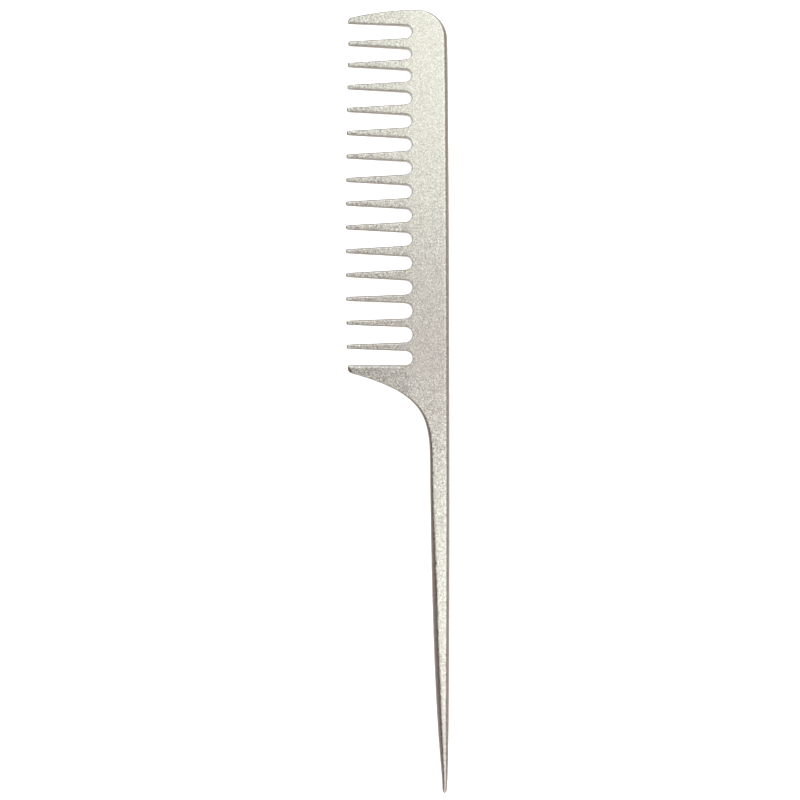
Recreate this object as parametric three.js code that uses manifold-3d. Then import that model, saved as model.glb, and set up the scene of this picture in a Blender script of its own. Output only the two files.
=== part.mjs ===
// A rat-tail grooming comb, made in one piece of metal.
//
// It lies flat: +Z is up, the nose points to +Y, the tail to -Y and the teeth to -X. The origin is the
// middle of the underside's box. Sizes are in millimetres. Along the comb, "down" is the distance from
// the nose; across it, x is measured from the middle of the head's width.

import * as THREE from 'three';
import { mergeVertices } from 'three/addons/utils/BufferGeometryUtils.js';
import Module from 'manifold-3d';

// Overall
const LENGTH = 235;
const THICKNESS = 3;

// Head: the line of the tooth tips, the bottom of the gullets and the back
const TIP_X = -15.55;
const TIP_BOW = 0.94;
const TIP_BOW_MIDDLE = 70;
const TIP_CORNER_RADIUS = 0.45;
const NOSE_GULLET_X = 4.35;
const GULLET_X = 4.08;
const GULLET_LEAN = 0.004;
const NOSE_CORNER_RADIUS = 8.98;
const NOSE_BACK_X = 15;

// Teeth: the pitch starts short at the nose and soon settles
const TOOTH_COUNT = 14;
const FIRST_TOOTH_DOWN = 10.17;
const SETTLED_PITCH = 7.175;
const PITCH_SHORTFALL = 0.794;
const PITCH_SETTLING = 0.67;
const TOOTH_TIP_WIDTH = 1.36;
const TOOTH_ROOT_WIDTH = 3.54;
const SLIM_TEETH = 3;
const SLIM_ROOT_WIDTH = 2.82;

// Guards: the thick end teeth at the nose and at the neck. Near the tips their outer edges are straight.
const GUARD_TIP_X = -15.05;
const GUARD_CORNER_RADIUS = 1.6;
const GUARD_STRAIGHT_X = -13.56;
const NOSE_DROP = 2.19;
const NOSE_GUARD_ROOT_DOWN = 5.01;
const NOSE_GUARD_FLANK_SLOPE = 0.039;
const HEEL_GUARD_DOWN = 106.56;
const HEEL_GUARD_EDGE_DOWN = 109.2;
const HEEL_GUARD_EDGE_SLOPE = 0.273;

// Neck and tail
const NECK_REACH = 22.55;
const NECK_END_DOWN = 136;
const NECK_END_X = 9.69;
const NECK_END_PULL = 14.2;
const NECK_END_LEAN = 0.14;
const TAIL_BEND_DOWN = 215;
const TAIL_BEND_X = 10.47;
const TAIL_NARROWS_DOWN = 227;
const TAIL_NARROWS_X = 13.44;
const TAIL_TIP_DOWN = 233.6;
const TAIL_TIP_X = 14.15;
const TAIL_TIP_HALF_WIDTH = 0.75;
const BACK_TAIL_X = 16.3;
const BACK_TAIL_DOWN = 222;
const BACK_HEAD_X = 15.55;
const BACK_HEAD_DOWN = 28;

// Edges and thinning
const EDGE_INSET = 0.4;
const EDGE_HEIGHT = 1.2;
const EDGE_STEPS = 3;
const TEETH_THIN_X = 3.4;
const TOOTH_TIP_THICKNESS = 2;
const TAIL_TIP_THICKNESS = 2.2;
const TAIL_THINS_DOWN = 195;

// Curve resolution, in segments
const TIP_CORNER_SEGMENTS = 3;
const GUARD_CORNER_SEGMENTS = 5;
const TAIL_TIP_SEGMENTS = 6;
const GULLET_SEGMENTS = 8;
const CORNER_SEGMENTS = 10;
const CURVE_SEGMENTS = 14;
const LONG_CURVE_SEGMENTS = 24;

const STEEL_COLOUR = 0xd6d4c8;

const wasm = await Module();
wasm.setup();

// A point of the outline, from its x and its distance down from the nose.
function at(x, down) {
  return new THREE.Vector2(x, LENGTH / 2 - down);
}

// A flank is a straight edge that runs across the comb: its distance down is a line in x.
function flank(x, down, slope) {
  return { slope, down: (atX) => down + slope * (atX - x), secant: Math.hypot(1, slope) };
}

// The tips lie on a shallow arc: the furthest ones are near the middle of the head.
function tipX(down) {
  return TIP_X + TIP_BOW * ((down - TIP_BOW_MIDDLE) / TIP_BOW_MIDDLE) ** 2;
}

// The gullets between the teeth get a little deeper towards the heel.
function gulletX(down) {
  return GULLET_X + GULLET_LEAN * down;
}

// The round bottom of the gap between a tooth's lower flank and the next tooth's upper one.
function gulletEnd(above, below, bottomX) {
  const gap = below.down(bottomX) - above.down(bottomX);
  const radius = gap / (above.secant + below.secant + below.slope - above.slope);
  const centreX = bottomX - radius;
  const centre = at(centreX, above.down(centreX) + radius * above.secant);
  const start = Math.atan2(1, above.slope);
  const end = Math.atan2(-1, -below.slope);
  const arc = new THREE.EllipseCurve(centre.x, centre.y, radius, radius, start, end, true);
  return arc.getPoints(GULLET_SEGMENTS);
}

// The blunt tip of a tooth: two rounded corners with a short straight edge between them.
function tipEnd(tooth) {
  const { upper, lower, tip, upperRadius, lowerRadius } = tooth;
  const upperX = tip + upperRadius;
  const lowerX = tip + lowerRadius;
  const upperCentre = at(upperX, upper.down(upperX) + upperRadius * upper.secant);
  const lowerCentre = at(lowerX, lower.down(lowerX) - lowerRadius * lower.secant);
  const start = Math.atan2(1, upper.slope);
  const end = Math.atan2(-1, -lower.slope) + 2 * Math.PI;
  return [
    ...cornerArc(upperCentre, upperRadius, start, Math.PI),
    ...cornerArc(lowerCentre, lowerRadius, Math.PI, end),
  ];
}

function cornerArc(centre, radius, start, end) {
  const segments = radius > TIP_CORNER_RADIUS ? GUARD_CORNER_SEGMENTS : TIP_CORNER_SEGMENTS;
  return new THREE.EllipseCurve(centre.x, centre.y, radius, radius, start, end).getPoints(segments);
}

// How far down each inner tooth lies, at its middle.
function toothMiddles() {
  const middles = [];
  let down = FIRST_TOOTH_DOWN;
  for (let index = 0; index < TOOTH_COUNT; index += 1) {
    middles.push(down);
    down += SETTLED_PITCH - PITCH_SHORTFALL * PITCH_SETTLING ** index;
  }
  return middles;
}

// An inner tooth, which tapers evenly from its root to its tip. The last few are slimmer at the root.
function innerTooth(middle, index) {
  const rootWidth = index < TOOTH_COUNT - SLIM_TEETH ? TOOTH_ROOT_WIDTH : SLIM_ROOT_WIDTH;
  const slope = (rootWidth - TOOTH_TIP_WIDTH) / 2 / (GULLET_X - TIP_X);
  return {
    upper: flank(TIP_X, middle - TOOTH_TIP_WIDTH / 2, -slope),
    lower: flank(TIP_X, middle + TOOTH_TIP_WIDTH / 2, slope),
    tip: tipX(middle),
    upperRadius: TIP_CORNER_RADIUS,
    lowerRadius: TIP_CORNER_RADIUS,
  };
}

// The nose: the rounded corner of the back, then the guard's top edge, an arch that drops to its tip.
function noseEdge() {
  const cornerX = NOSE_BACK_X - NOSE_CORNER_RADIUS;
  const centre = at(cornerX, NOSE_CORNER_RADIUS);
  const radius = NOSE_CORNER_RADIUS;
  const corner = new THREE.EllipseCurve(centre.x, centre.y, radius, radius, 0, Math.PI / 2);
  const archTop = at((cornerX + GUARD_STRAIGHT_X) / 2, 0);
  const archEnd = at(GUARD_STRAIGHT_X, NOSE_DROP);
  const arch = new THREE.QuadraticBezierCurve(at(cornerX, 0), archTop, archEnd);
  return [...corner.getPoints(CORNER_SEGMENTS), ...arch.getPoints(CURVE_SEGMENTS)];
}

// The toothed side, from the nose guard's tip to the heel guard's tip.
function toothedEdge() {
  const archSlope = -2 * NOSE_DROP / (NOSE_BACK_X - NOSE_CORNER_RADIUS - GUARD_STRAIGHT_X);
  const noseGuard = {
    upper: flank(GUARD_STRAIGHT_X, NOSE_DROP, archSlope),
    lower: flank(GULLET_X, NOSE_GUARD_ROOT_DOWN, NOSE_GUARD_FLANK_SLOPE),
    tip: GUARD_TIP_X,
    upperRadius: GUARD_CORNER_RADIUS,
    lowerRadius: TIP_CORNER_RADIUS,
  };
  const heelGuard = {
    upper: flank(GULLET_X, HEEL_GUARD_DOWN, 0),
    lower: flank(GUARD_STRAIGHT_X, HEEL_GUARD_EDGE_DOWN, HEEL_GUARD_EDGE_SLOPE),
    tip: GUARD_TIP_X,
    upperRadius: TIP_CORNER_RADIUS,
    lowerRadius: GUARD_CORNER_RADIUS,
  };
  const teeth = [noseGuard, ...toothMiddles().map(innerTooth), heelGuard];

  const points = [];
  teeth.forEach((tooth, index) => {
    points.push(...tipEnd(tooth));
    const next = teeth[index + 1];
    if (next) {
      const bottomX = index === 0 ? NOSE_GULLET_X : gulletX(next.upper.down(GULLET_X));
      points.push(...gulletEnd(tooth.lower, next.upper, bottomX));
    }
  });
  return points;
}

// The neck sweeps from the heel guard into the tail, starting along the guard's lower edge.
function neckEdge(start) {
  const run = new THREE.Vector2(1, -HEEL_GUARD_EDGE_SLOPE).normalize();
  const leave = run.multiplyScalar(NECK_REACH).add(start);
  const arrive = at(NECK_END_X - NECK_END_LEAN, NECK_END_DOWN - NECK_END_PULL);
  const neck = new THREE.CubicBezierCurve(start, leave, arrive, at(NECK_END_X, NECK_END_DOWN));
  return neck.getPoints(CURVE_SEGMENTS);
}

// The tail: its inner edge, its oval tip and the long edge of the back up to the nose.
function tailAndBackEdge() {
  const inner = new THREE.CubicBezierCurve(
    at(NECK_END_X, NECK_END_DOWN),
    at(TAIL_BEND_X, TAIL_BEND_DOWN),
    at(TAIL_NARROWS_X, TAIL_NARROWS_DOWN),
    at(TAIL_TIP_X - TAIL_TIP_HALF_WIDTH, TAIL_TIP_DOWN),
  );
  const tipCentre = at(TAIL_TIP_X, TAIL_TIP_DOWN);
  const tipLength = LENGTH - TAIL_TIP_DOWN;
  const tip = new THREE.EllipseCurve(
    tipCentre.x, tipCentre.y, TAIL_TIP_HALF_WIDTH, tipLength, Math.PI, 2 * Math.PI,
  );
  const back = new THREE.CubicBezierCurve(
    at(TAIL_TIP_X + TAIL_TIP_HALF_WIDTH, TAIL_TIP_DOWN),
    at(BACK_TAIL_X, BACK_TAIL_DOWN),
    at(BACK_HEAD_X, BACK_HEAD_DOWN),
    at(NOSE_BACK_X, NOSE_CORNER_RADIUS),
  );
  return [
    ...inner.getPoints(CURVE_SEGMENTS),
    ...tip.getPoints(TAIL_TIP_SEGMENTS),
    ...back.getPoints(LONG_CURVE_SEGMENTS),
  ];
}

// The whole outline, anticlockwise, with the points that two stretches share kept once.
function outline() {
  const toothed = toothedEdge();
  const neck = neckEdge(toothed[toothed.length - 1].clone());
  const points = [...noseEdge(), ...toothed, ...neck, ...tailAndBackEdge()];
  const minimumStep = 0.1;
  return points.filter((point, index) => {
    const before = points[(index + points.length - 1) % points.length];
    return point.distanceTo(before) > minimumStep;
  });
}

// The comb as a flat bar with rounded edges.
function bar() {
  const geometry = new THREE.ExtrudeGeometry(new THREE.Shape(outline()), {
    depth: THICKNESS - 2 * EDGE_HEIGHT,
    bevelSize: EDGE_INSET,
    bevelOffset: -EDGE_INSET,
    bevelThickness: EDGE_HEIGHT,
    bevelSegments: EDGE_STEPS,
  });
  geometry.translate(0, 0, EDGE_HEIGHT);
  return geometry;
}

// A wedge that planes a face down, from nothing at `from` to `depth` at `to`. Both lie on one axis of
// the plan, and the wedge runs across the whole comb along the other axis. Its sloping side starts off
// the face and passes through it at `from`.
function wedge(from, to, depth, face) {
  const outward = face > 0 ? 1 : -1;
  const overrun = 0.2;
  const start = from - (to - from) * overrun;
  const end = to + (to - from) * overrun;
  const profile = new THREE.Shape([
    new THREE.Vector2(start, face + outward * depth * overrun),
    new THREE.Vector2(end, face - outward * depth * (1 + overrun)),
    new THREE.Vector2(end, face + outward),
    new THREE.Vector2(start, face + outward),
  ]);
  const span = 2 * LENGTH;
  const geometry = new THREE.ExtrudeGeometry(profile, { depth: span, bevelEnabled: false });
  geometry.translate(0, 0, -span / 2);
  geometry.rotateX(Math.PI / 2);
  return geometry;
}

function toSolid(geometry) {
  const plain = geometry.clone();
  plain.deleteAttribute('normal');
  plain.deleteAttribute('uv');
  const merged = mergeVertices(plain, 1e-4);
  const mesh = new wasm.Mesh({
    numProp: 3,
    vertProperties: new Float32Array(merged.attributes.position.array),
    triVerts: new Uint32Array(merged.index.array),
  });
  return new wasm.Manifold(mesh);
}

function toGeometry(solid) {
  const mesh = solid.getMesh();
  const geometry = new THREE.BufferGeometry();
  geometry.setAttribute('position', new THREE.BufferAttribute(mesh.vertProperties, 3));
  geometry.setIndex(new THREE.BufferAttribute(mesh.triVerts, 1));
  geometry.computeVertexNormals();
  return geometry;
}

// The teeth thin towards their tips and the tail towards its own, equally on both faces.
function thinningWedges() {
  const toothDepth = (THICKNESS - TOOTH_TIP_THICKNESS) / 2;
  const tailDepth = (THICKNESS - TAIL_TIP_THICKNESS) / 2;
  const tailStart = LENGTH / 2 - TAIL_THINS_DOWN;
  const wedges = [];
  [0, THICKNESS].forEach((face) => {
    wedges.push(wedge(TEETH_THIN_X, TIP_X, toothDepth, face));
    wedges.push(wedge(tailStart, -LENGTH / 2, tailDepth, face).rotateZ(Math.PI / 2));
  });
  return wedges;
}

function combGeometry() {
  let solid = toSolid(bar());
  thinningWedges().forEach((geometry) => {
    solid = solid.subtract(toSolid(geometry));
  });
  const geometry = toGeometry(solid);
  geometry.computeBoundingBox();
  const middle = geometry.boundingBox.getCenter(new THREE.Vector3());
  return geometry.translate(-middle.x, -middle.y, 0);
}

const comb = new THREE.Mesh(
  combGeometry(),
  new THREE.MeshStandardMaterial({ color: STEEL_COLOUR, roughness: 0.45, metalness: 1 }),
);
comb.name = 'comb';

const part = new THREE.Group();
part.add(comb);

export default part;
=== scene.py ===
"""Looks for the rat-tail grooming comb.

One finely meshed comb stands for the CAD node: the same outline, with fully rounded edges, teeth and tail
that thin towards their tips, and a procedural bead-blasted metal. Lengths of the comb are in millimetres,
as in the CAD model, and become metres when the mesh is made. "Down" is the distance from the nose. Lengths
of the studio are in metres.
"""

import math

import bpy
import numpy as np
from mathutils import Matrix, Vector
from mathutils.geometry import delaunay_2d_cdt


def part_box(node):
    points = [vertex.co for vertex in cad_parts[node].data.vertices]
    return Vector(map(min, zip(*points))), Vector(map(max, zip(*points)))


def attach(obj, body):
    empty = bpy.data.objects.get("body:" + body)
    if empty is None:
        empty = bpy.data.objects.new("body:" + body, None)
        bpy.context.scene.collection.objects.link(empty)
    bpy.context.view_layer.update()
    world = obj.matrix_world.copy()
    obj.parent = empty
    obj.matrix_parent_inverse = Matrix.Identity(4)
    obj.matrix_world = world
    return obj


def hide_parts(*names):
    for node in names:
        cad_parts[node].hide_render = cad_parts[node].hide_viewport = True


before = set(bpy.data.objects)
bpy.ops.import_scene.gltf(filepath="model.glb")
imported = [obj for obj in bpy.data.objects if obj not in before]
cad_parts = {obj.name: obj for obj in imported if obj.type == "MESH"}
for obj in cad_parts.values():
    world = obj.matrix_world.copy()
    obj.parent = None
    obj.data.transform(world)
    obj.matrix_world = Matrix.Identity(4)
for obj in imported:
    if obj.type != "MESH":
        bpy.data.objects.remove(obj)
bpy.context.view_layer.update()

MM = 0.001

# The comb's box, in millimetres, from the CAD node
BOX_LOW, BOX_HIGH = [np.array(corner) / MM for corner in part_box("comb")]
LENGTH = BOX_HIGH[1] - BOX_LOW[1]
THICKNESS = BOX_HIGH[2] - BOX_LOW[2]
MIDDLE_X = (BOX_HIGH[0] + BOX_LOW[0]) / 2
NOSE_Y = BOX_HIGH[1]
MIDDLE_Z = (BOX_HIGH[2] + BOX_LOW[2]) / 2

# Head
TIP_X = -15.55
TIP_BOW = 0.94
TIP_BOW_MIDDLE = 70
TIP_CORNER_RADIUS = 0.45
NOSE_GULLET_X = 4.35
GULLET_X = 4.08
GULLET_LEAN = 0.004
NOSE_CORNER_RADIUS = 8.98
NOSE_BACK_X = 15

# Teeth
TOOTH_COUNT = 14
FIRST_TOOTH_DOWN = 10.17
SETTLED_PITCH = 7.175
PITCH_SHORTFALL = 0.794
PITCH_SETTLING = 0.67
TOOTH_TIP_WIDTH = 1.36
TOOTH_ROOT_WIDTH = 3.54
SLIM_TEETH = 3
SLIM_ROOT_WIDTH = 2.82

# Guards
GUARD_TIP_X = -15.05
GUARD_CORNER_RADIUS = 1.6
GUARD_STRAIGHT_X = -13.56
NOSE_DROP = 2.19
NOSE_GUARD_ROOT_DOWN = 5.01
NOSE_GUARD_FLANK_SLOPE = 0.039
HEEL_GUARD_DOWN = 106.56
HEEL_GUARD_MARGIN = 0.1
HEEL_GUARD_EDGE_DOWN = 109.2
HEEL_GUARD_EDGE_SLOPE = 0.273

# Neck and tail: each pair is (x, down)
NECK_REACH = 22.55
NECK_END = (9.69, 136)
NECK_END_PULL = (0.14, 14.2)
TAIL_BEND = (10.47, 215)
TAIL_NARROWS = (13.44, 227)
TAIL_TIP = (14.15, 233.6)
TAIL_TIP_HALF_WIDTH = 0.75
BACK_AT_TAIL = (16.3, 222)
BACK_AT_HEAD = (15.55, 28)

# Section: how far the rounded edge reaches in from the outline, and how square it is (2 is a quarter
# ellipse, more is squarer). The inner edge of the neck and tail gets rounder as it goes down.
BACK_EDGE = (1.7, 2.1)
NOSE_EDGE = (0.5, 2)
TOOTH_EDGE = (0.65, 2.3)
GULLET_EDGE = (0.22, 2)
HEEL_TOP_EDGE = (1.0, 2.6)
TOOTH_ROOT_X = 4
TOOTH_ROOT_BLEND = 2.6
INNER_EDGE_DOWN = (109, 120, 128, 144, 158, 172, 235)
INNER_EDGE_REACH = (0.2, 0.7, 1.4, 2.0, 1.9, 1.9, 1.8)
INNER_EDGE_SQUARENESS = (2, 2.2, 3.6, 4.6, 3, 2.3, 2.2)
EDGE_SHARE = 0.92
EDGE_STEPS = 11

# Section: how the thickness falls
TOOTH_TIP_THICKNESS = 2
TEETH_THIN_X = 3.4
TAIL_TIP_THICKNESS = 2.2
TAIL_THINS_DOWN = 195

# Mesh
OUTLINE_STEP = 0.33
ARC_STEPS = 8
CLOSEST_POINTS = 0.03
LEAST_DEPTH = 1e-6
NORMAL_SMOOTHING = 2
EDGE_SMOOTHING = 6
FLAT_RIM = 0.105
FLAT_RIM_SHARE = 0.35
LID_SPACING = 1.1
LID_ROW_SHARE = 0.87
LID_MARGIN = 0.7


# ---------------------------------------------------------------- outline

def arc(centre, radius_x, radius_y, start, end):
    """Points along an elliptical arc, OUTLINE_STEP apart or closer where it is tight."""
    length = abs(end - start) * max(radius_x, radius_y)
    count = max(ARC_STEPS, int(length / OUTLINE_STEP))
    angle = np.linspace(start, end, count + 1)
    return np.column_stack((centre[0] + radius_x * np.cos(angle), centre[1] + radius_y * np.sin(angle)))


def bezier(*controls):
    """Points along a quadratic or cubic Bezier curve, OUTLINE_STEP apart on average."""
    controls = np.array(controls, dtype=float)
    degree = len(controls) - 1
    span = np.linalg.norm(np.diff(controls, axis=0), axis=1).sum()
    t = np.linspace(0, 1, int(span / OUTLINE_STEP) + 2)[:, None]
    weights = [math.comb(degree, k) * (1 - t) ** (degree - k) * t ** k for k in range(degree + 1)]
    return sum(weight * control for weight, control in zip(weights, controls))


def at(x, down):
    """A point of the outline, from its x and its distance down from the nose."""
    return np.array((x, -down), dtype=float)


class Flank:
    """A straight edge across the comb: its distance down is a line in x."""

    def __init__(self, x, down, slope):
        self.x, self.start, self.slope = x, down, slope
        self.secant = math.hypot(1, slope)

    def down(self, x):
        return self.start + self.slope * (x - self.x)


def tip_x(down):
    return TIP_X + TIP_BOW * ((down - TIP_BOW_MIDDLE) / TIP_BOW_MIDDLE) ** 2


def gullet_x(down):
    return GULLET_X + GULLET_LEAN * down


def gullet_end(above, below, bottom_x):
    """The round bottom of the gap between a tooth's lower flank and the next tooth's upper one."""
    gap = below.down(bottom_x) - above.down(bottom_x)
    radius = gap / (above.secant + below.secant + below.slope - above.slope)
    centre_x = bottom_x - radius
    centre = at(centre_x, above.down(centre_x) + radius * above.secant)
    return arc(centre, radius, radius, math.atan2(1, above.slope), math.atan2(-1, -below.slope))


def tip_end(upper, lower, tip, upper_radius, lower_radius):
    """The blunt tip of a tooth: two rounded corners with a short straight edge between them."""
    upper_x = tip + upper_radius
    lower_x = tip + lower_radius
    upper_centre = at(upper_x, upper.down(upper_x) + upper_radius * upper.secant)
    lower_centre = at(lower_x, lower.down(lower_x) - lower_radius * lower.secant)
    start = math.atan2(1, upper.slope)
    end = math.atan2(-1, -lower.slope) + 2 * math.pi
    upper_corner = arc(upper_centre, upper_radius, upper_radius, start, math.pi)
    lower_corner = arc(lower_centre, lower_radius, lower_radius, math.pi, end)
    return np.concatenate((upper_corner, lower_corner))


def tooth_middles():
    """How far down each inner tooth lies: the pitch starts short at the nose and soon settles."""
    middles = [FIRST_TOOTH_DOWN]
    for index in range(TOOTH_COUNT - 1):
        middles.append(middles[-1] + SETTLED_PITCH - PITCH_SHORTFALL * PITCH_SETTLING ** index)
    return middles


def inner_tooth(index, middle):
    root_width = TOOTH_ROOT_WIDTH if index < TOOTH_COUNT - SLIM_TEETH else SLIM_ROOT_WIDTH
    slope = (root_width - TOOTH_TIP_WIDTH) / 2 / (GULLET_X - TIP_X)
    upper = Flank(TIP_X, middle - TOOTH_TIP_WIDTH / 2, -slope)
    lower = Flank(TIP_X, middle + TOOTH_TIP_WIDTH / 2, slope)
    return upper, lower, tip_x(middle), TIP_CORNER_RADIUS, TIP_CORNER_RADIUS


def nose_edge():
    corner_x = NOSE_BACK_X - NOSE_CORNER_RADIUS
    centre = at(corner_x, NOSE_CORNER_RADIUS)
    corner = arc(centre, NOSE_CORNER_RADIUS, NOSE_CORNER_RADIUS, 0, math.pi / 2)
    arch_top = at((corner_x + GUARD_STRAIGHT_X) / 2, 0)
    return [corner, bezier(at(corner_x, 0), arch_top, at(GUARD_STRAIGHT_X, NOSE_DROP))]


def toothed_edge():
    arch_slope = -2 * NOSE_DROP / (NOSE_BACK_X - NOSE_CORNER_RADIUS - GUARD_STRAIGHT_X)
    nose_upper = Flank(GUARD_STRAIGHT_X, NOSE_DROP, arch_slope)
    nose_lower = Flank(GULLET_X, NOSE_GUARD_ROOT_DOWN, NOSE_GUARD_FLANK_SLOPE)
    heel_upper = Flank(GULLET_X, HEEL_GUARD_DOWN, 0)
    heel_lower = Flank(GUARD_STRAIGHT_X, HEEL_GUARD_EDGE_DOWN, HEEL_GUARD_EDGE_SLOPE)
    teeth = [(nose_upper, nose_lower, GUARD_TIP_X, GUARD_CORNER_RADIUS, TIP_CORNER_RADIUS)]
    teeth += [inner_tooth(index, middle) for index, middle in enumerate(tooth_middles())]
    teeth += [(heel_upper, heel_lower, GUARD_TIP_X, TIP_CORNER_RADIUS, GUARD_CORNER_RADIUS)]

    stretches = []
    for index, tooth in enumerate(teeth):
        stretches.append(tip_end(*tooth))
        if index + 1 < len(teeth):
            following = teeth[index + 1][0]
            bottom_x = NOSE_GULLET_X if index == 0 else gullet_x(following.down(GULLET_X))
            stretches.append(gullet_end(tooth[1], following, bottom_x))
    return np.concatenate(stretches)


def neck_and_tail_edge(start):
    run = np.array((1, -HEEL_GUARD_EDGE_SLOPE)) / math.hypot(1, HEEL_GUARD_EDGE_SLOPE)
    neck_end = at(*NECK_END)
    arrive = at(NECK_END[0] - NECK_END_PULL[0], NECK_END[1] - NECK_END_PULL[1])
    neck = bezier(start, start + run * NECK_REACH, arrive, neck_end)
    tip_centre = at(*TAIL_TIP)
    half = np.array((TAIL_TIP_HALF_WIDTH, 0))
    inner = bezier(neck_end, at(*TAIL_BEND), at(*TAIL_NARROWS), tip_centre - half)
    tip = arc(tip_centre, TAIL_TIP_HALF_WIDTH, LENGTH - TAIL_TIP[1], math.pi, 2 * math.pi)
    nose_corner = at(NOSE_BACK_X, NOSE_CORNER_RADIUS)
    back = bezier(tip_centre + half, at(*BACK_AT_TAIL), at(*BACK_AT_HEAD), nose_corner)
    return [neck, inner, tip, back]


def even_steps(points):
    """A run of points with its long straight stretches cut into steps of OUTLINE_STEP."""
    result = []
    for here, there in zip(points, points[1:]):
        count = max(1, int(math.ceil(np.linalg.norm(there - here) / OUTLINE_STEP - 0.5)))
        result.extend(here + (there - here) * step / count for step in range(count))
    return np.array(result + [points[-1]])


def with_edge(points, first, last):
    """The points of a stretch, with the reach and squareness of their edge beside them."""
    along = np.linspace(0, 1, len(points))[:, None]
    return np.column_stack((points, np.array(first) * (1 - along) + np.array(last) * along))


def with_tooth_edge(points):
    """The toothed side: crowned teeth between gullets with a tight edge."""
    down = -points[:, 1]
    blend = np.clip((TOOTH_ROOT_X - points[:, 0]) / TOOTH_ROOT_BLEND, 0, 1)[:, None]
    tooth = np.tile(TOOTH_EDGE, (len(points), 1))
    tooth[down < NOSE_GUARD_ROOT_DOWN] = NOSE_EDGE
    tooth[down >= HEEL_GUARD_DOWN - HEEL_GUARD_MARGIN] = HEEL_TOP_EDGE
    return np.column_stack((points, np.array(GULLET_EDGE) * (1 - blend) + tooth * blend))


def with_inner_edge(points):
    """The inner edge of the neck and tail."""
    down = -points[:, 1]
    reach = np.interp(down, INNER_EDGE_DOWN, INNER_EDGE_REACH)
    squareness = np.interp(down, INNER_EDGE_DOWN, INNER_EDGE_SQUARENESS)
    return np.column_stack((points, reach, squareness))


def comb_outline():
    """The outline, anticlockwise from above, in millimetres, in the CAD node's box. Beside each point
    stand the reach and squareness of its edge."""
    corner, arch = nose_edge()
    toothed = even_steps(toothed_edge())
    neck, inner, tip, back = neck_and_tail_edge(toothed[-1])
    points = np.concatenate((
        with_edge(corner, BACK_EDGE, NOSE_EDGE),
        with_edge(arch, NOSE_EDGE, NOSE_EDGE),
        with_tooth_edge(toothed),
        with_inner_edge(neck),
        with_inner_edge(inner),
        with_edge(tip, BACK_EDGE, BACK_EDGE),
        with_edge(back, BACK_EDGE, BACK_EDGE),
    ))
    gaps = np.linalg.norm((points - np.roll(points, 1, axis=0))[:, :2], axis=1)
    points = points[gaps > CLOSEST_POINTS]
    middle = (points[:, 0].max() + points[:, 0].min()) / 2
    return points + np.array((MIDDLE_X - middle, NOSE_Y, 0, 0))


# ---------------------------------------------------------------- section

def smooth_loop(values, passes):
    for _ in range(passes):
        values = (np.roll(values, 1, axis=0) + 2 * values + np.roll(values, -1, axis=0)) / 4
    return values


def inward_normals(points):
    run = np.roll(points, -1, axis=0) - np.roll(points, 1, axis=0)
    normals = np.column_stack((-run[:, 1], run[:, 0]))
    normals = smooth_loop(normals / np.linalg.norm(normals, axis=1)[:, None], NORMAL_SMOOTHING)
    return normals / np.linalg.norm(normals, axis=1)[:, None]


def inner_radius(points, normals):
    """For each point, the radius of the largest circle inside the outline that touches it there."""
    radii = np.empty(len(points))
    for index, (point, normal) in enumerate(zip(points, normals)):
        across = points - point
        depth = across @ normal
        ahead = depth > LEAST_DEPTH
        radii[index] = ((across[ahead] ** 2).sum(axis=1) / (2 * depth[ahead])).min()
    return radii


def half_thickness(x, y):
    """Half the comb's thickness at a place: the teeth and the tail thin towards their tips."""
    along_tooth = np.clip((TEETH_THIN_X - x) / (TEETH_THIN_X - TIP_X), 0, 1)
    tail_length = LENGTH - TAIL_THINS_DOWN
    along_tail = np.clip((NOSE_Y - y - TAIL_THINS_DOWN) / tail_length, 0, 1)
    loss = (THICKNESS - TOOTH_TIP_THICKNESS) * along_tooth + (THICKNESS - TAIL_TIP_THICKNESS) * along_tail
    return (THICKNESS - loss) / 2


def comb_mesh():
    points = comb_outline()
    outline = points[:, :2]
    normals = inward_normals(outline)
    radii = inner_radius(outline, normals)
    reach = smooth_loop(np.minimum(points[:, 2], EDGE_SHARE * radii), EDGE_SMOOTHING)
    reach = np.minimum(reach, EDGE_SHARE * radii)
    power = 2 / smooth_loop(points[:, 3], EDGE_SMOOTHING)
    inner = reach + np.clip(FLAT_RIM_SHARE * (radii - reach), 0, FLAT_RIM)

    rings = []
    for step in range(-EDGE_STEPS, EDGE_STEPS + 1):
        angle = step / EDGE_STEPS * math.pi / 2
        rise = math.copysign(1, step) * abs(math.sin(angle)) ** power
        inset = reach * (1 - max(0, math.cos(angle)) ** power)
        rings.append((inset, rise))
    rings = [(inner, -np.ones(len(outline)))] + rings + [(inner, np.ones(len(outline)))]

    vertices = []
    for inset, rise in rings:
        ring = outline + normals * inset[:, None]
        z = MIDDLE_Z + rise * half_thickness(ring[:, 0], ring[:, 1])
        vertices.append(np.column_stack((ring, z)))
    count = len(outline)
    faces = []
    for level in range(len(rings) - 1):
        for index in range(count):
            following = (index + 1) % count
            low, high = level * count, (level + 1) * count
            faces.append((low + index, low + following, high + following, high + index))

    lid = outline + normals * inner[:, None]
    lid_faces, extra = lid_triangles(lid)
    flat = np.concatenate(vertices)
    for level, rise in ((0, -1), (len(rings) - 1, 1)):
        z = MIDDLE_Z + rise * half_thickness(extra[:, 0], extra[:, 1])
        base = len(flat)
        flat = np.concatenate((flat, np.column_stack((extra, z))))
        names = list(range(level * count, (level + 1) * count)) + list(range(base, base + len(extra)))
        for face in lid_faces:
            corners = [names[corner] for corner in face]
            faces.append(tuple(corners if rise > 0 else reversed(corners)))
    return flat, faces


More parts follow.
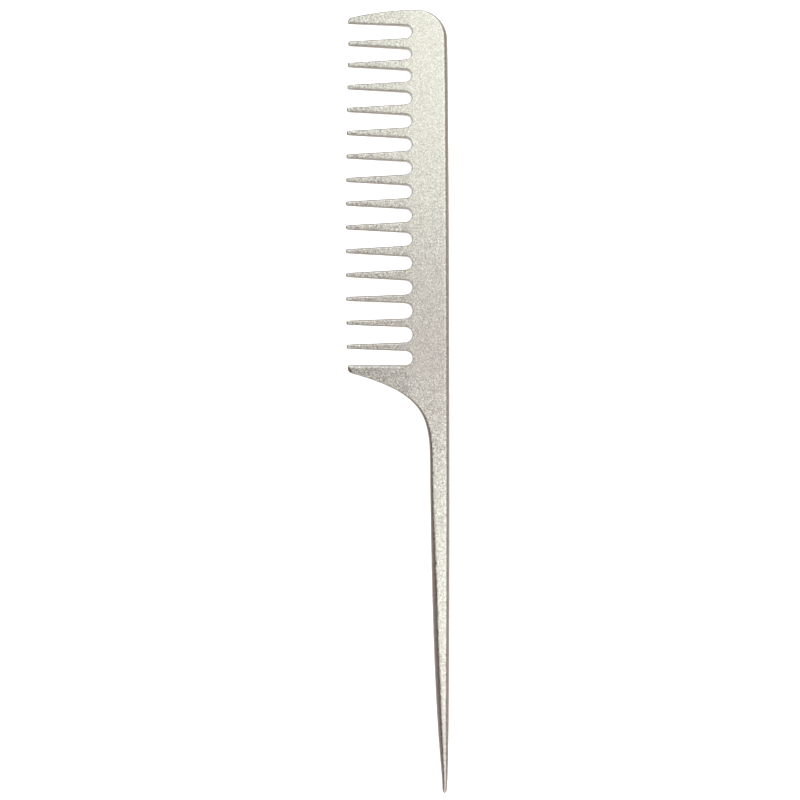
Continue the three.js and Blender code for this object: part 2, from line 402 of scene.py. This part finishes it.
def lid_triangles(lid):
    """The flat face inside the rounded edge, filled with well-shaped triangles."""
    count = len(lid)
    low, high = lid.min(axis=0), lid.max(axis=0)
    xs = np.arange(low[0], high[0], LID_SPACING)
    ys = np.arange(low[1], high[1], LID_SPACING * LID_ROW_SHARE)
    grid = [(x + (row % 2) * LID_SPACING / 2, y) for row, y in enumerate(ys) for x in xs]
    grid = np.array([point for point in grid if np.abs(lid - point).sum(axis=1).min() > LID_MARGIN])
    points = [Vector(p) for p in np.concatenate((lid, grid))]
    edges = [(index, (index + 1) % count) for index in range(count)]
    result = delaunay_2d_cdt(points, edges, [], 1, 1e-7)
    coordinates, triangles, origins = result[0], result[2], result[3]
    if len(origins) and any(len(group) != 1 for group in origins):
        raise RuntimeError("the lid's outline crosses itself")
    back = [group[0] for group in origins]
    used = sorted({back[corner] for face in triangles for corner in face if back[corner] >= count})
    place = {old: count + new for new, old in enumerate(used)}
    place.update({index: index for index in range(count)})
    faces = [tuple(place[back[corner]] for corner in face) for face in triangles]
    extra = np.array([points[old] for old in used])
    return faces, extra


def build_comb():
    vertices, faces = comb_mesh()
    mesh = bpy.data.meshes.new("comb_body")
    mesh.from_pydata((vertices * MM).tolist(), [], faces)
    mesh.validate()
    mesh.shade_smooth()
    comb = bpy.data.objects.new("comb_body", mesh)
    bpy.context.scene.collection.objects.link(comb)
    return comb


# ---------------------------------------------------------------- materials

# Bead-blasted grain: facets about 0.3 mm across. Each tilts its own way and reflects its own share of the
# light.
GRAINS_PER_METRE = 3400
GRAIN_TILT = 0.09
DULL_GRAIN = (0.69, 0.678, 0.61, 1)
BRIGHT_GRAIN = (0.97, 0.953, 0.857, 1)

# Broader, very faint blotches of tint and of polish
BLOTCHES_PER_METRE = 1100
BLOTCH_LOW = (1, 0.985, 0.995, 1)
BLOTCH_HIGH = (0.99, 1, 0.99, 1)
ROUGHNESS_LOW = 0.19
ROUGHNESS_HIGH = 0.29


def blasted_steel():
    """Bead-blasted metal: warm silver with a fine, slightly tinted grain."""
    material = bpy.data.materials.new("blasted_steel")
    material.use_nodes = True
    nodes, links = material.node_tree.nodes, material.node_tree.links
    shader = nodes["Principled BSDF"]
    shader.inputs["Metallic"].default_value = 1
    place = nodes.new("ShaderNodeTexCoord")

    def ramp(factor, start, low, high):
        tint = nodes.new("ShaderNodeValToRGB")
        tint.color_ramp.elements[0].position = start
        tint.color_ramp.elements[0].color = low
        tint.color_ramp.elements[1].position = 1 - start
        tint.color_ramp.elements[1].color = high
        links.new(factor, tint.inputs["Fac"])
        return tint.outputs["Color"]

    grains = nodes.new("ShaderNodeTexVoronoi")
    grains.inputs["Scale"].default_value = GRAINS_PER_METRE
    links.new(place.outputs["Object"], grains.inputs["Vector"])
    shares = nodes.new("ShaderNodeSeparateXYZ")
    links.new(grains.outputs["Color"], shares.inputs["Vector"])
    shade = ramp(shares.outputs["Z"], 0, DULL_GRAIN, BRIGHT_GRAIN)

    blotches = nodes.new("ShaderNodeTexNoise")
    blotches.inputs["Scale"].default_value = BLOTCHES_PER_METRE
    blotches.inputs["Detail"].default_value = 1
    links.new(place.outputs["Object"], blotches.inputs["Vector"])
    colour = nodes.new("ShaderNodeMix")
    colour.data_type = "RGBA"
    colour.blend_type = "MULTIPLY"
    colour.inputs["Factor"].default_value = 1
    links.new(shade, colour.inputs["A"])
    links.new(ramp(blotches.outputs["Fac"], 0.35, BLOTCH_LOW, BLOTCH_HIGH), colour.inputs["B"])
    links.new(colour.outputs["Result"], shader.inputs["Base Color"])

    roughness = nodes.new("ShaderNodeMapRange")
    roughness.inputs["To Min"].default_value = ROUGHNESS_LOW
    roughness.inputs["To Max"].default_value = ROUGHNESS_HIGH
    links.new(blotches.outputs["Fac"], roughness.inputs["Value"])
    links.new(roughness.outputs["Result"], shader.inputs["Roughness"])

    tilt = nodes.new("ShaderNodeVectorMath")
    tilt.operation = "MULTIPLY_ADD"
    tilt.inputs[1].default_value = [GRAIN_TILT] * 3
    tilt.inputs[2].default_value = [-GRAIN_TILT / 2] * 3
    links.new(grains.outputs["Color"], tilt.inputs[0])
    surface = nodes.new("ShaderNodeNewGeometry")
    tilted = nodes.new("ShaderNodeVectorMath")
    links.new(surface.outputs["Normal"], tilted.inputs[0])
    links.new(tilt.outputs["Vector"], tilted.inputs[1])
    facet = nodes.new("ShaderNodeVectorMath")
    facet.operation = "NORMALIZE"
    links.new(tilted.outputs["Vector"], facet.inputs[0])
    links.new(facet.outputs["Vector"], shader.inputs["Normal"])
    return material


def plain_floor():
    material = bpy.data.materials.new("floor_white")
    material.use_nodes = True
    shader = material.node_tree.nodes["Principled BSDF"]
    shader.inputs["Base Color"].default_value = (0.92, 0.92, 0.92, 1)
    shader.inputs["Roughness"].default_value = 0.9
    shader.inputs["Specular IOR Level"].default_value = 0
    return material


# ---------------------------------------------------------------- studio

# The overhead light is a row of strips across the comb: (name, left x, from y, to y, radiance, tint), in
# metres. Two broad bright sheets with a dim gap between them let the comb darken towards the heel guard.
PINKISH = (1.06, 0.95, 1.01)
MAUVE = (1.17, 0.87, 1.02)
NEUTRAL = (0.985, 1.01, 0.99)
LILAC = (1.01, 0.95, 1.1)
OVERHEAD_HEIGHT = 0.8
OVERHEAD_RIGHT = 0.58
OVERHEAD_STRIPS = (
    ("tail_end", -0.13, -0.9, -0.33, 0.68, PINKISH),
    ("tail", -0.13, -0.33, -0.25, 0.88, PINKISH),
    ("neck", -0.1, -0.25, -0.03, 1.27, NEUTRAL),
    ("gap", -0.09, -0.03, 0.08, 0.31, MAUVE),
    ("teeth", -0.11, 0.08, 0.15, 0.92, NEUTRAL),
    ("head", -0.13, 0.15, 0.5, 1.1, NEUTRAL),
    ("nose", -0.13, 0.5, 0.95, 1.6, NEUTRAL),
)

# Two upright lights, beyond the nose and beyond the tail: (name, centre, facing, size, radiance, tint)
WALLS = (
    ("wall_nose", (0, 0.9, 0.4), (0, -1, 0), (2.2, 0.8), 0.6, LILAC),
    ("wall_tail", (0.2, -0.9, 0.4), (0, 1, 0), (1.8, 0.8), 0.5, NEUTRAL),
)

# The floor and the light that keeps it white, which no reflection shows
FLOOR_REACH = 3
WASH_HEIGHT = 1.5
WASH_SIZE = (6, 6)
WASH_RADIANCE = 3

# Camera: straight above the comb, a little off its middle
CAMERA_HEIGHT = 0.54
CAMERA_OFFSET = (0.00067, 0.00045)
FRAME_WIDTH = 0.24007
SENSOR_WIDTH = 36
CLIP_START = 0.01

# Where the room glows, and how brightly
ROOM_GLOWS = (
    ((1, 0, 0), (0.39, 0.35, 0.36)),
    ((-1, 0, 0), (0.3, 0.25, 0.25)),
    ((0, 0, -1), (0.66, 0.61, 0.6)),
)


def softbox(name, centre, facing, size, radiance, tint=(1, 1, 1)):
    """A soft rectangular light of a given brightness. Its size is (width, height)."""
    data = bpy.data.lights.new(name, "AREA")
    data.shape = "RECTANGLE"
    data.size, data.size_y = size
    data.energy = radiance * math.pi * size[0] * size[1]
    data.color = tint
    light = bpy.data.objects.new(name, data)
    light.location = centre
    light.rotation_euler = Vector(facing).to_track_quat("-Z", "Y").to_euler()
    light.visible_camera = False
    bpy.context.scene.collection.objects.link(light)
    return light


def surroundings():
    """The room around the lights: black, with a broad glow from each of a few directions. The backdrop
    itself is plain white."""
    world = bpy.data.worlds.new("studio")
    world.use_nodes = True
    nodes, links = world.node_tree.nodes, world.node_tree.links
    place = nodes.new("ShaderNodeTexCoord")
    total = None
    for towards, colour in ROOM_GLOWS:
        facing = nodes.new("ShaderNodeVectorMath")
        facing.operation = "DOT_PRODUCT"
        facing.inputs[1].default_value = towards
        links.new(place.outputs["Generated"], facing.inputs[0])
        lit_side = nodes.new("ShaderNodeMath")
        lit_side.operation = "MAXIMUM"
        lit_side.inputs[1].default_value = 0
        links.new(facing.outputs["Value"], lit_side.inputs[0])
        glow = nodes.new("ShaderNodeVectorMath")
        glow.operation = "MULTIPLY_ADD"
        glow.inputs[1].default_value = colour
        glow.inputs[2].default_value = (0, 0, 0)
        links.new(lit_side.outputs["Value"], glow.inputs[0])
        if total:
            links.new(total, glow.inputs[2])
        total = glow.outputs["Vector"]
    path = nodes.new("ShaderNodeLightPath")
    backdrop = nodes.new("ShaderNodeMix")
    backdrop.data_type = "RGBA"
    backdrop.inputs["B"].default_value = (1, 1, 1, 1)
    links.new(path.outputs["Is Camera Ray"], backdrop.inputs["Factor"])
    links.new(total, backdrop.inputs["A"])
    links.new(backdrop.outputs["Result"], nodes["Background"].inputs["Color"])
    bpy.context.scene.world = world


def studio():
    scene = bpy.context.scene
    scene.view_settings.view_transform = "Standard"
    surroundings()
    down = (0, 0, -1)
    for name, left, start, end, radiance, tint in OVERHEAD_STRIPS:
        centre = ((left + OVERHEAD_RIGHT) / 2, (start + end) / 2, OVERHEAD_HEIGHT)
        softbox("overhead_" + name, centre, down, (OVERHEAD_RIGHT - left, end - start), radiance, tint)
    for wall in WALLS:
        softbox(*wall)
    wash = softbox("floor_wash", (0, 0, WASH_HEIGHT), down, WASH_SIZE, WASH_RADIANCE)
    wash.visible_glossy = False

    floor_mesh = bpy.data.meshes.new("floor")
    corners = [(x * FLOOR_REACH, y * FLOOR_REACH, 0) for x, y in ((-1, -1), (1, -1), (1, 1), (-1, 1))]
    floor_mesh.from_pydata(corners, [], [(0, 1, 2, 3)])
    floor = bpy.data.objects.new("floor", floor_mesh)
    floor.data.materials.append(plain_floor())
    floor.visible_glossy = False
    scene.collection.objects.link(floor)


def overhead_camera():
    data = bpy.data.cameras.new("camera")
    data.sensor_width = SENSOR_WIDTH
    data.lens = SENSOR_WIDTH * CAMERA_HEIGHT / FRAME_WIDTH
    data.clip_start = CLIP_START
    camera = bpy.data.objects.new("camera", data)
    across, along = CAMERA_OFFSET
    camera.location = (MIDDLE_X * MM + across, along, CAMERA_HEIGHT + THICKNESS / 2 * MM)
    bpy.context.scene.collection.objects.link(camera)
    bpy.context.scene.camera = camera


overhead_camera()
comb = build_comb()
comb.data.materials.append(blasted_steel())
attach(comb, "root")
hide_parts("comb")
studio()
